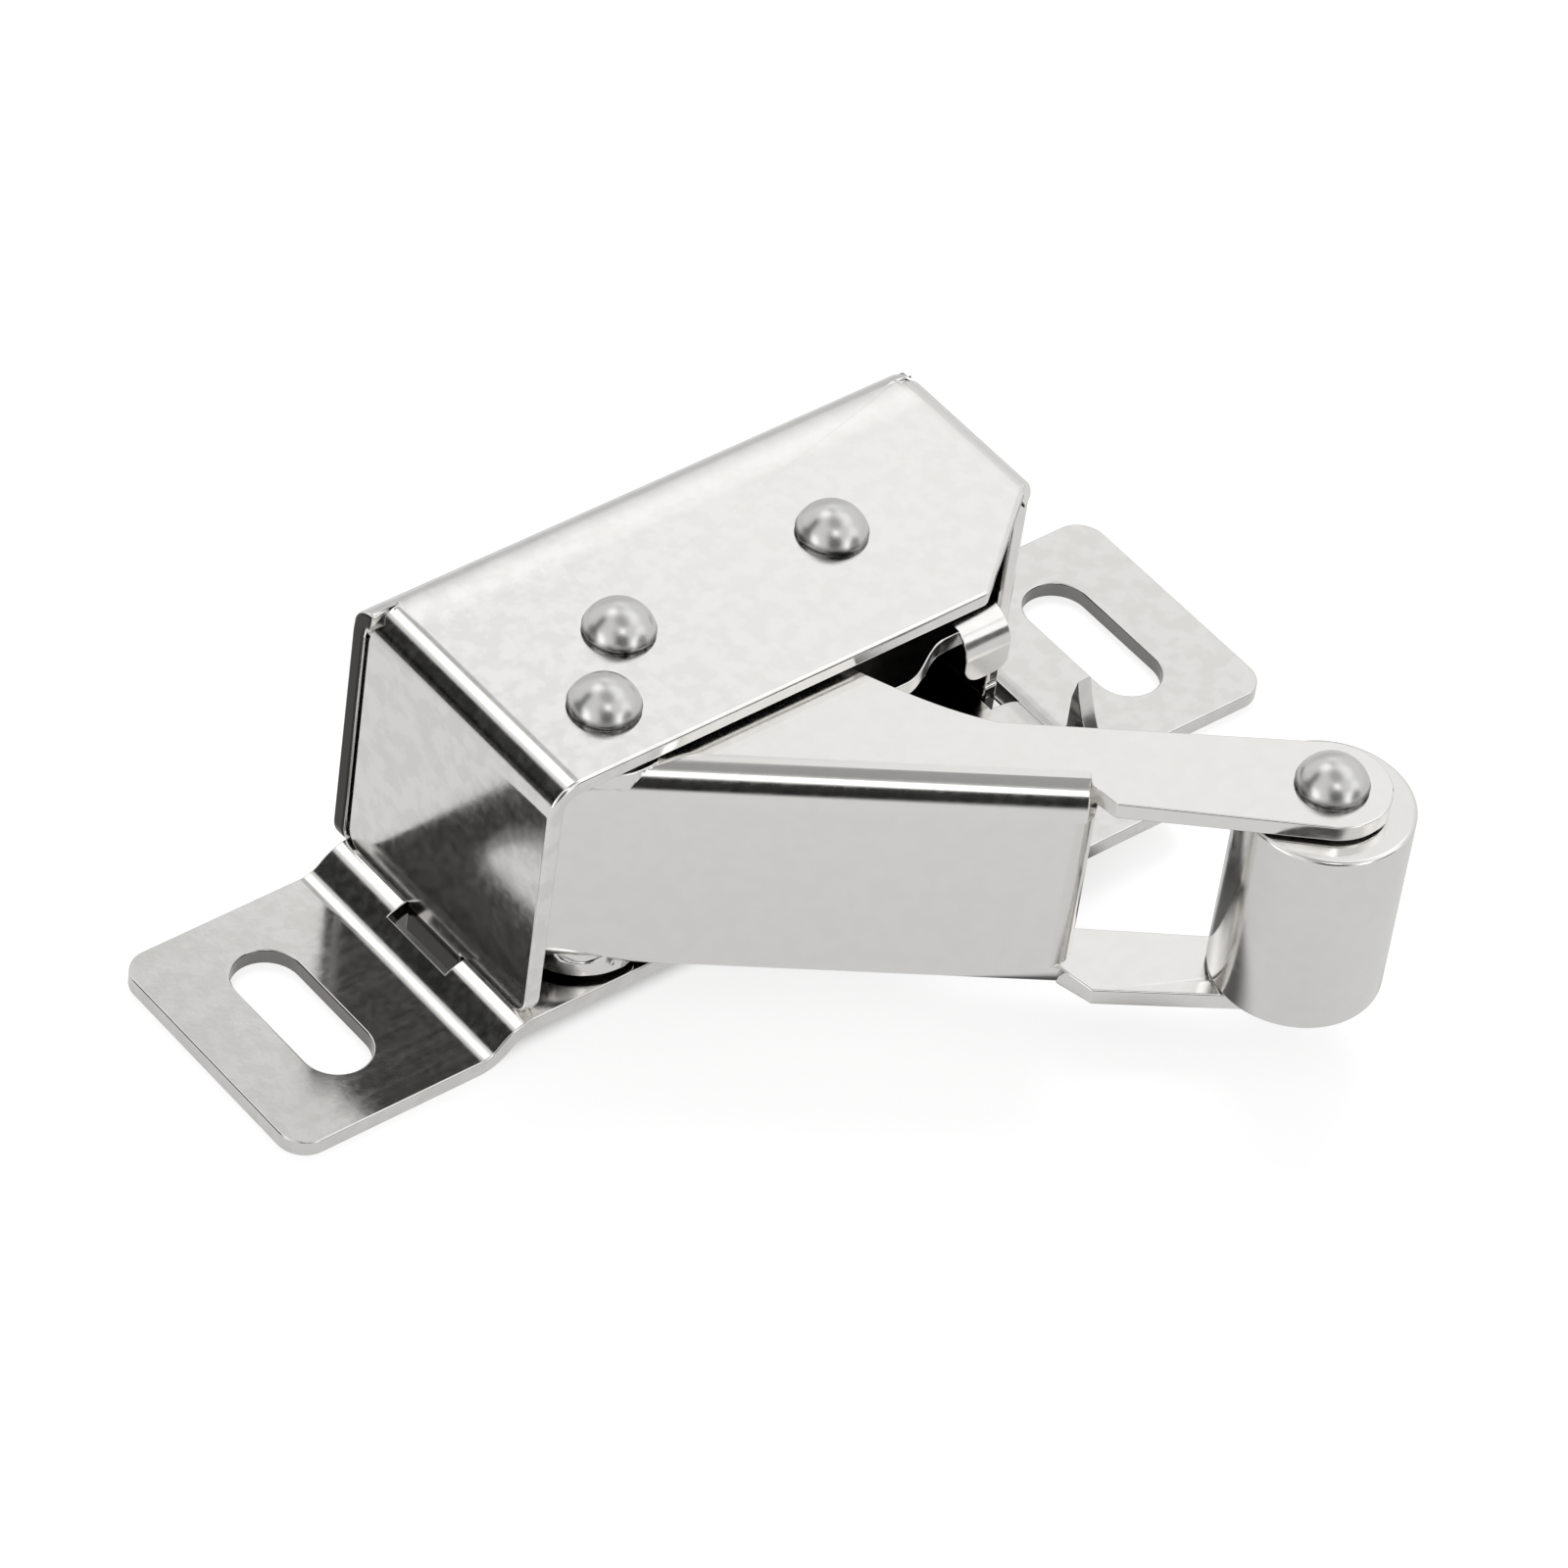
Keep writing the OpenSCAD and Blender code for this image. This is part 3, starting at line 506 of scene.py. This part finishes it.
def metal(name):
    colour, edge, inner, rough, bump = FINISHES[name]
    mat = bpy.data.materials.new(name + "_steel")
    mat.use_nodes = True
    tree = mat.node_tree
    shader = tree.nodes["Principled BSDF"]
    n = Nodes(tree)
    grain = n.add("ShaderNodeGroup", node_tree=GROUPS["grain"]).outputs
    marks = n.add("ShaderNodeGroup", node_tree=GROUPS["marks"]).outputs
    rim = n.add("ShaderNodeGroup", node_tree=GROUPS["rim"]).outputs

    base = n.blend(grain["Cloud"], tint(colour, CLOUD_TINT), colour)
    if name == "cover":
        base = n.blend(marks["Darker Left"], base, tint(colour, DARKER_TINT))
    speck = n.math("MULTIPLY", marks["Speck"], SPECK_SHARE)
    base = n.blend(speck, base, tint(colour, SPECK_TINT))
    # painted highlight on rolled edges, and painted shade at the foot of the domes
    base = n.blend(rim["Rim"], base, edge)
    # painted shade: inner faces, the cover's room, the pockets and the tab slots take the inner
    # colour
    shade = rim["Inside"]
    if name in ROOMY:
        room = n.add("ShaderNodeGroup", node_tree=GROUPS["room"]).outputs
        shade = n.math("MULTIPLY", shade, room["Room"])
        shade = n.math("MAXIMUM", shade, n.attribute("pocket"))
        if name == "cover":
            shade = n.math("MAXIMUM", shade, room["Tab"])
    n.put(n.blend(shade, base, inner), shader.inputs["Base Color"])

    # the pressed domes are even, all else is a little uneven
    uneven = 0.0 if name == "dome" else 1.0
    spread = CLOUD_ROUGH * uneven
    value = n.ramp(grain["Cloud"], 0.0, 1.0, rough * (1.0 - spread), rough * (1.0 + spread))
    value = n.math("MULTIPLY_ADD", grain["Grain"], GRAIN_ROUGH * uneven, value)
    value = n.math("MULTIPLY_ADD", marks["Lines"], LINE_ROUGH * uneven, value)
    n.put(value, shader.inputs["Roughness"])
    lift = n.add("ShaderNodeBump", Strength=bump, Distance=GRAIN_HEIGHT)
    n.put(grain["Grain"], lift.inputs["Height"])
    n.put(lift.outputs[0], shader.inputs["Normal"])
    shader.inputs["Metallic"].default_value = DOME_METALLIC if name == "dome" else 1.0
    return mat


METALS = {name: metal(name) for name in FINISHES}


# ---------------------------------------------------------------- pieces
def settle(name, mesh, node, body):
    """Puts a finished mesh in place of its CAD node."""
    piece = bpy.data.objects.new(name, mesh)
    bpy.context.scene.collection.objects.link(piece)
    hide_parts(node)
    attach(piece, body)


def inner_face(node, normal, centre):
    """Faces that only show through the cover's front opening; they get painted shade."""
    low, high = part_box("cover")
    if not (low.x < centre.x < high.x and low.y < centre.y < high.y):
        return False
    if node == "base_plate":
        return normal.z > FACING
    if node != "cover":
        return False
    ceiling = normal.z < -FACING
    end_wall = abs(normal.x) > FACING and normal.x * (centre.x - (low.x + high.x) / 2) < 0
    back_wall = normal.y < -FACING and centre.y > 0
    return ceiling or end_wall or back_wall


def pocket_face(node, normal, centre):
    """Shade of the cover's back slits, the stop lug, the tab slots and the screw slots."""
    if abs(normal.z) > FACING:
        return 0.0
    if node == "cover":
        at_back = centre.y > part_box("cover")[1].y - 2 * SHEET
        return 1.0 if abs(normal.x) > FACING and at_back else 0.0
    if node == "base_plate" and normal.x < -FACING and LUG_X[0] < centre.x < LUG_X[1]:
        return LUG_SHADE
    if node == "base_plate" and abs(centre.y) < SLOT_REACH and centre.z < STRAP_TOP:
        if abs(abs(centre.x) - TAB_X) < TAB_REACH and abs(centre.y) < TAB_SIDE:
            return 1.0
        if abs(abs(centre.x) - SLOT_X) < SLOT_HALF:
            return SLOT_SHADE
    return 0.0


def folds(node):
    """Folds of a sheet: centre, outward normals of its two faces, and how much rounder it gets."""
    if node == "cover":
        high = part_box(node)[1]
        for side in (-1, 1):
            centre = Vector((side * (high.x - FOLD), 0, high.z - FOLD))
            yield centre, Vector((side, 0, 0)), UP, SOFT_COVER
        yield Vector((0, high.y - FOLD, high.z - FOLD)), Vector((0, 1, 0)), UP, SOFT_BACK
    elif node == "base_plate":
        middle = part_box("cover")[1].x
        for side in (-1, 1):
            slope = Vector((side * math.sin(JOGGLE), 0, math.cos(JOGGLE)))
            yield Vector((side * middle, 0, STRAP_TOP - FOLD)), UP, slope, SOFT_JOGGLE
            yield Vector((side * FOOT_X, 0, FOLD)), -UP, -slope, SOFT_JOGGLE
    elif node == "swing_arm":
        low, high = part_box("arm_rivet")
        out = Vector((-math.sin(ARM_OPEN), -math.cos(ARM_OPEN), 0))
        spot = (low + high) / 2 + out * (WEB_OUT - FOLD)
        low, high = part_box(node)
        for z, way in ((high.z - FOLD, UP), (low.z + FOLD, -UP)):
            yield Vector((spot.x, spot.y, z)), out, way, SOFT_ARM
    else:
        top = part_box(node)[1].z
        yield Vector((0, LIP_Y + FOLD, top - FOLD)), Vector((0, -1, 0)), UP, SOFT_LIP


def soften_folds(bm, node):
    """Gives each fold its rounder radius: its arc moves inwards and stays tangent to both faces."""
    done = set()
    for centre, a, b, more in folds(node):
        axis = a.cross(b).normalized()
        middle = (a + b).normalized()
        wedge = math.cos(a.angle(b) / 2) - WEDGE_ROOM
        fresh = centre - (a + b) * more / (1 + a.dot(b))
        for vert in bm.verts:
            if vert in done or node == "catch_lever" and vert.co.x < LIP_X:
                continue
            spot = vert.co - centre
            along = axis * spot.dot(axis)
            spot -= along
            far = spot.length
            in_arc = FOLD_IN - TOLERANCE < far < FOLD + TOLERANCE
            if in_arc and spot.normalized().dot(middle) > wedge:
                slide = axis * (along - (fresh - centre)).dot(axis)
                vert.co = fresh + slide + spot.normalized() * (far + more)
                done.add(vert)
            elif (node == "swing_arm" and spot.dot(a) > FOLD_IN - TOLERANCE
                    and -EASE < spot.dot(b) < -TOLERANCE):
                vert.co -= b * more * (1 + spot.dot(b) / EASE)


def back_edge(node):
    """Where the roof ends at its back fold."""
    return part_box(node)[1].y - FOLD - SOFT_BACK


def cut_rows(bm, node):
    """Rows of points along the cover's back fold, which carry the fall of the roof towards it."""
    if node != "cover":
        return
    for back in FALL_ROWS:
        roof = [f for f in bm.faces if f.normal.z > ROOF_UP and f.calc_center_median().z > ROOF_Z]
        geom = set(roof) | {e for f in roof for e in f.edges} | {v for f in roof for v in f.verts}
        bmesh.ops.bisect_plane(bm, geom=list(geom), dist=CUT, plane_no=(0.0, 1.0, 0.0),
                               plane_co=(0.0, back_edge(node) - back, 0.0))


def roof_fall(node, normal, place):
    """Lets the roof's normals lean back towards the fold."""
    if node != "cover" or normal.z < ROOF_UP or place.z < ROOF_Z:
        return normal
    near = 1.0 - (back_edge(node) - place.y) / FALL_ROWS[-1]
    if near <= 0.0:
        return normal
    return Matrix.Rotation(-FALL * min(near, 1.0) ** FALL_POWER, 3, "X") @ normal


def flat_normals(bm, node):
    """Corner normals in which each flat region counts by its whole size, so that it stays flat."""
    bm.faces.ensure_lookup_table()
    bm.faces.index_update()
    region, sums = {}, []
    for seed in bm.faces:
        if seed.index in region or seed.calc_area() < SPECK:
            continue
        number, total, queue = len(sums), Vector(), [seed]
        region[seed.index] = number
        while queue:
            face = queue.pop()
            total += face.normal * face.calc_area()
            for other in (f for e in face.edges for f in e.link_faces):
                if (other.index not in region and other.calc_area() > SPECK
                        and other.normal.dot(seed.normal) > FLATNESS):
                    region[other.index] = number
                    queue.append(other)
        sums.append(total)
    lean = []
    for face in bm.faces:
        own = sums[region[face.index]].normalized() if face.index in region else face.normal
        for corner in face.loops:
            total = Vector()
            around = {region[f.index] for f in corner.vert.link_faces if f.index in region}
            for number in sorted(around):
                weight = sums[number].length
                if sums[number].dot(own) > CREASE * weight:
                    total += sums[number] * weight
            total = total.normalized() if total.length > 0 else own
            lean.append(roof_fall(node, total, corner.vert.co))
    return lean


def roll_edges(bm, roll, rim):
    """Rolls the blanked edges over, and marks them in the layer rim."""
    skin = BVHTree.FromBMesh(bm)
    edges = [e for e in bm.edges
             if e.is_manifold and e.is_convex and e.calc_face_angle() > SHARP_EDGE]
    made = bmesh.ops.bevel(bm, geom=edges, offset=roll, offset_type="OFFSET", segments=ROLL_STEPS,
                           profile=0.5, affect="EDGES", clamp_overlap=False, loop_slide=True,
                           material=-1)
    for vert in made["verts"]:
        vert[rim] = 1.0
    for vert in bm.verts:
        near, _, _, distance = skin.find_nearest(vert.co)
        if distance > STRAY * roll:
            vert.co = near


def drop_slivers(bm):
    """Clears thin faces, splits many-sided ones, and drops pairs that lie back to back."""
    bmesh.ops.dissolve_degenerate(bm, dist=SLIVER, edges=bm.edges)
    bmesh.ops.triangulate(bm, faces=[f for f in bm.faces if len(f.verts) > 4])
    twins = {}
    for face in bm.faces:
        twins.setdefault(frozenset(face.verts), []).append(face)
    doubled = [f for same in twins.values() if len(same) > 1 for f in same]
    bmesh.ops.delete(bm, geom=doubled, context="FACES")


def add_sheets():
    """Sheet pieces: the nodes' forms with rounder folds and rolled edges."""
    for node, (body, roll, finish) in SHEETS.items():
        bm = bmesh.new()
        bm.from_mesh(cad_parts[node].data)
        bmesh.ops.remove_doubles(bm, verts=bm.verts, dist=WELD)
        bmesh.ops.dissolve_limit(bm, angle_limit=STRAIGHT, verts=bm.verts, edges=bm.edges)
        soften_folds(bm, node)
        rim = bm.verts.layers.float.new("rim")
        inside = bm.faces.layers.float.new("inside")
        pocket = bm.faces.layers.float.new("pocket")
        for face in bm.faces:
            centre = face.calc_center_median()
            face[inside] = 1.0 if inner_face(node, face.normal, centre) else 0.0
            face[pocket] = pocket_face(node, face.normal, centre)
        roll_edges(bm, roll, rim)
        drop_slivers(bm)
        for face in bm.faces:
            face.smooth = True
        cut_rows(bm, node)
        lean = flat_normals(bm, node)
        mesh = bpy.data.meshes.new(node + "_sheet")
        bm.to_mesh(mesh)
        bm.free()
        mesh.normals_split_custom_set(lean)
        mesh.materials.append(METALS[finish])
        settle(node + "_sheet", mesh, node, body)


class Shape(Nodes):
    """A Geometry Nodes tree with named inputs for its sizes, ending in a set material."""

    def __init__(self, name, sizes):
        super().__init__(bpy.data.node_groups.new(name, "GeometryNodeTree"))
        face = self.tree.interface
        for key, value in sizes.items():
            socket = face.new_socket(key, in_out="INPUT", socket_type="NodeSocketFloat")
            socket.default_value = value
        face.new_socket("Finish", in_out="INPUT", socket_type="NodeSocketMaterial")
        face.new_socket("Mesh", in_out="OUTPUT", socket_type="NodeSocketGeometry")
        self.get = self.add("NodeGroupInput").outputs

    def close(self, parts):
        """Joins the parts, closes their seams and sets the finish."""
        join = self.add("GeometryNodeJoinGeometry")
        for part in parts:
            self.tree.links.new(part, join.inputs[0])
        merge = self.add("GeometryNodeMergeByDistance", Distance=SEAM)
        self.put(join.outputs[0], merge.inputs["Geometry"])
        real = self.add("GeometryNodeRealizeInstances")
        self.put(merge.outputs[0], real.inputs[0])
        paint = self.add("GeometryNodeSetMaterial")
        self.put(real.outputs[0], paint.inputs["Geometry"])
        self.put(self.get["Finish"], paint.inputs["Material"])
        self.put(paint.outputs[0], self.add("NodeGroupOutput").inputs[0])

    def bend(self, start, middle, end, steps):
        """Round stretch of a profile through three points in the XZ half plane."""
        arc = self.add("GeometryNodeCurveArc", mode="POINTS", Resolution=steps)
        for key, (x, z) in (("Start", start), ("Middle", middle), ("End", end)):
            self.put(self.vector(x, 0.0, z), arc.inputs[key])
        return arc.outputs["Curve"]

    def straight(self, start, end):
        """Straight stretch of a profile."""
        line = self.add("GeometryNodeCurvePrimitiveLine")
        for key, (x, z) in (("Start", start), ("End", end)):
            self.put(self.vector(x, 0.0, z), line.inputs[key])
        return line.outputs[0]

    def turn(self, profile, rim=0.0):
        """Turns a profile round the Z axis and marks it as rim."""
        node = self.add("GeometryNodeGroup", node_tree=LATHE)
        self.put(profile, node.inputs["Profile"])
        self.put(rim, node.inputs["Rim"])
        return node.outputs[0]


def build_lathe():
    """Turns a profile round the Z axis, as a grid with one row for each of its points."""
    tree = bpy.data.node_groups.new("turn_round_axis", "GeometryNodeTree")
    face = tree.interface
    face.new_socket("Profile", in_out="INPUT", socket_type="NodeSocketGeometry")
    face.new_socket("Rim", in_out="INPUT", socket_type="NodeSocketFloat")
    face.new_socket("Mesh", in_out="OUTPUT", socket_type="NodeSocketGeometry")
    n = Nodes(tree)
    get = n.add("NodeGroupInput").outputs
    size = n.add("GeometryNodeAttributeDomainSize", component="CURVE")
    n.put(get["Profile"], size.inputs[0])
    rows = size.outputs["Point Count"]
    span = n.math("SUBTRACT", rows, 1.0)
    grid = n.add("GeometryNodeMeshGrid")
    for key, value in (("Size X", span), ("Size Y", float(SEGMENTS)), ("Vertices X", rows),
                       ("Vertices Y", SEGMENTS + 1)):
        n.put(value, grid.inputs[key])
    here = n.add("GeometryNodeInputPosition").outputs[0]
    flat = n.apart(here)
    row = n.math("ROUND", n.math("MULTIPLY_ADD", span, 0.5, flat["X"]))
    angle = n.math("MULTIPLY", n.math("ADD", flat["Y"], SEGMENTS / 2), 2 * math.pi / SEGMENTS)
    pick = n.add("GeometryNodeSampleIndex", data_type="FLOAT_VECTOR", domain="POINT")
    n.put(get["Profile"], pick.inputs["Geometry"])
    n.put(here, pick.inputs["Value"])
    n.put(row, pick.inputs["Index"])
    point = n.apart(pick.outputs[0])
    round_x = n.math("MULTIPLY", point["X"], n.math("COSINE", angle))
    round_y = n.math("MULTIPLY", point["X"], n.math("SINE", angle))
    place = n.add("GeometryNodeSetPosition")
    n.put(grid.outputs["Mesh"], place.inputs["Geometry"])
    n.put(n.vector(round_x, round_y, point["Z"]), place.inputs["Position"])
    keep = n.add("GeometryNodeStoreNamedAttribute", data_type="FLOAT", domain="POINT")
    n.put(place.outputs[0], keep.inputs["Geometry"])
    keep.inputs["Name"].default_value = "rim"
    n.put(get["Rim"], keep.inputs["Value"])
    n.put(keep.outputs[0], n.add("NodeGroupOutput").inputs[0])
    return tree


LATHE = build_lathe()


def dome_curve(s, half, height, base, way, steps):
    """Arc from the pole of a dome to its foot; way is 1 upwards and -1 downwards."""
    square = s.math("MULTIPLY", half, half)
    ball = s.math("DIVIDE", s.math("MULTIPLY_ADD", height, height, square),
                  s.math("MULTIPLY", height, 2.0))
    lean = s.math("MULTIPLY", s.math("ARCSINE", s.math("DIVIDE", half, ball)), 0.5)
    centre = s.math("SUBTRACT", height, ball)
    mid_x = s.math("MULTIPLY", ball, s.math("SINE", lean))
    mid_z = s.math("MULTIPLY_ADD", ball, s.math("COSINE", lean), centre)
    pole = s.math("MULTIPLY_ADD", height, way, base)
    ends = ((0.0, pole), (mid_x, s.math("MULTIPLY_ADD", mid_z, way, base)), (half, base))
    return s.bend(*(ends if way > 0 else ends[::-1]), steps)


def build_rivet():
    """Domed head with a tucked rim, shank and closing head."""
    s = Shape("domed_rivet", {
        "Head": HEAD, "Height": HEAD_HEIGHT, "Rim": HEAD_RIM, "Shank": SHANK, "Tail": TAIL,
        "Tail Height": TAIL_DOME, "Seat": 0.0, "Foot": 0.0})
    get = s.get
    seat, foot = get["Seat"], get["Foot"]
    head, shank, tail = (s.math("MULTIPLY", get[key], 0.5) for key in ("Head", "Shank", "Tail"))
    high = s.math("SUBTRACT", get["Height"], get["Rim"])
    girdle = s.math("ADD", seat, get["Rim"])
    height = s.apart(s.add("GeometryNodeInputPosition").outputs[0])["Z"]
    # painted shade: the rim layer darkens the dome's foot over HEAD_SHADE and under its tucked rim
    low = s.ramp(height, s.math("ADD", girdle, HEAD_SHADE), girdle)
    inner = s.math("SUBTRACT", head, get["Rim"])
    tuck = s.math("MULTIPLY_ADD", get["Rim"], COS_45, inner)
    drop = s.math("MULTIPLY_ADD", get["Rim"], -COS_45, girdle)
    s.close([
        s.turn(dome_curve(s, head, high, girdle, 1.0, DOME_STEPS), low),
        s.turn(s.bend((head, girdle), (tuck, drop), (inner, seat), TUCK_STEPS), rim=1.0),
        s.turn(s.straight((inner, seat), (shank, seat)), rim=1.0),
        s.turn(s.straight((shank, seat), (shank, foot))),
        s.turn(s.straight((shank, foot), (tail, foot))),
        s.turn(dome_curve(s, tail, get["Tail Height"], foot, -1.0, TAIL_STEPS)),
    ])
    return s.tree


def build_ring():
    """Tube or ring with rounded edges at both ends, outside and in the bore."""
    s = Shape("turned_ring", {
        "Outer": 10 * MM, "Bore": 4 * MM, "Low": 0.0, "High": 10 * MM, "Edge": 0.2 * MM})
    edge, low, high = (s.get[key] for key in ("Edge", "Low", "High"))
    outer, bore = (s.math("MULTIPLY", s.get[key], 0.5) for key in ("Outer", "Bore"))
    short = s.math("MULTIPLY", edge, 1.0 - COS_45)
    out_in, bore_out = s.math("SUBTRACT", outer, edge), s.math("ADD", bore, edge)
    top, bottom = s.math("SUBTRACT", high, edge), s.math("ADD", low, edge)
    near, far = s.math("SUBTRACT", outer, short), s.math("ADD", bore, short)
    roof, floor = s.math("SUBTRACT", high, short), s.math("ADD", low, short)
    s.close([
        s.turn(s.straight((bore_out, high), (out_in, high))),
        s.turn(s.bend((out_in, high), (near, roof), (outer, top), EDGE_STEPS), rim=1.0),
        s.turn(s.straight((outer, top), (outer, bottom))),
        s.turn(s.bend((outer, bottom), (near, floor), (out_in, low), EDGE_STEPS), rim=1.0),
        s.turn(s.straight((out_in, low), (bore_out, low))),
        s.turn(s.bend((bore_out, low), (far, floor), (bore, bottom), EDGE_STEPS), rim=1.0),
        s.turn(s.straight((bore, bottom), (bore, top))),
        s.turn(s.bend((bore, top), (far, roof), (bore_out, high), EDGE_STEPS), rim=1.0),
    ])
    return s.tree


def write_smooth(bm, mesh):
    """Writes a shape into a mesh that is smooth apart from its sharp edges."""
    bmesh.ops.recalc_face_normals(bm, faces=bm.faces)
    for face in bm.faces:
        face.smooth = True
    bm.to_mesh(mesh)
    bm.free()
    mesh.set_sharp_from_angle(angle=SHARP_TURNED)


def grow(tree, name, sizes, finish, place):
    """Runs a Geometry Nodes tree with its sizes and returns the plain mesh at its place."""
    holder = bpy.data.objects.new(name, bpy.data.meshes.new(name + "_seed"))
    bpy.context.scene.collection.objects.link(holder)
    build = holder.modifiers.new("build", "NODES")
    build.node_group = tree
    for socket in tree.interface.items_tree:
        if socket.in_out == "INPUT" and socket.name in sizes:
            build[socket.identifier] = sizes[socket.name]
        elif socket.in_out == "INPUT" and socket.name == "Finish":
            build[socket.identifier] = METALS[finish]
    graph = bpy.context.evaluated_depsgraph_get()
    mesh = bpy.data.meshes.new_from_object(holder.evaluated_get(graph), depsgraph=graph)
    mesh.name = name
    holder.modifiers.remove(build)
    bpy.data.objects.remove(holder)
    mesh.transform(Matrix.Translation(place))
    bm = bmesh.new()
    bm.from_mesh(mesh)
    write_smooth(bm, mesh)
    return mesh


def add_rivets():
    tree = build_rivet()
    for node, (body, tail) in RIVETS.items():
        low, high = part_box(node)
        sizes = {"Head": high.x - low.x, "Height": HEAD_HEIGHT, "Rim": HEAD_RIM, "Shank": SHANK,
                 "Tail": TAIL, "Tail Height": tail, "Seat": high.z - HEAD_HEIGHT,
                 "Foot": low.z + tail}
        place = Vector(((low.x + high.x) / 2, (low.y + high.y) / 2, 0.0))
        mesh = grow(tree, node + "_formed", sizes, "dome", place)
        settle(node + "_formed", mesh, node, body)


def add_turned():
    tree = build_ring()
    for node, (body, bore, edge, finish) in TURNED.items():
        low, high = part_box(node)
        sizes = {"Outer": high.x - low.x, "Bore": bore, "Low": low.z, "High": high.z, "Edge": edge}
        place = Vector(((low.x + high.x) / 2, (low.y + high.y) / 2, 0.0))
        mesh = grow(tree, node + "_turned", sizes, finish, place)
        settle(node + "_turned", mesh, node, body)


def split_spring():
    """The arm spring's leg at the stop post stays with the housing; the rest turns with the arm."""
    low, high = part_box("arm_rivet")
    axis = (low + high) / 2
    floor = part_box("arm_spring")[0].z + 2 * WIRE
    for name, body, keep in (("arm_spring_post_leg", "housing", True),
                             ("arm_spring_coil", "arm", False)):
        bm = bmesh.new()
        bm.from_mesh(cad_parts["arm_spring"].data)
        bmesh.ops.remove_doubles(bm, verts=bm.verts, dist=SEAM)
        tip = {v for v in bm.verts if v.co.z < floor and (v.co - axis).xy.length > COIL_OUT}
        gone = [f for f in bm.faces if tip.isdisjoint(f.verts) == keep]
        bmesh.ops.delete(bm, geom=gone, context="FACES")
        bmesh.ops.holes_fill(bm, edges=[e for e in bm.edges if e.is_boundary])
        mesh = bpy.data.meshes.new(name)
        write_smooth(bm, mesh)
        mesh.materials.append(METALS["wire"])
        settle(name, mesh, "arm_spring", body)


def dress_rest():
    """Finishes of the nodes that keep their own mesh."""
    for name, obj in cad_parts.items():
        obj.data.materials.clear()
        obj.data.materials.append(METALS["wire" if name == "lever_spring" else "turned"])


add_camera()
add_world()
add_floor()
add_lamps()
add_sheets()
add_rivets()
add_turned()
split_spring()
dress_rest()
bpy.context.scene.view_settings.view_transform = "Standard"
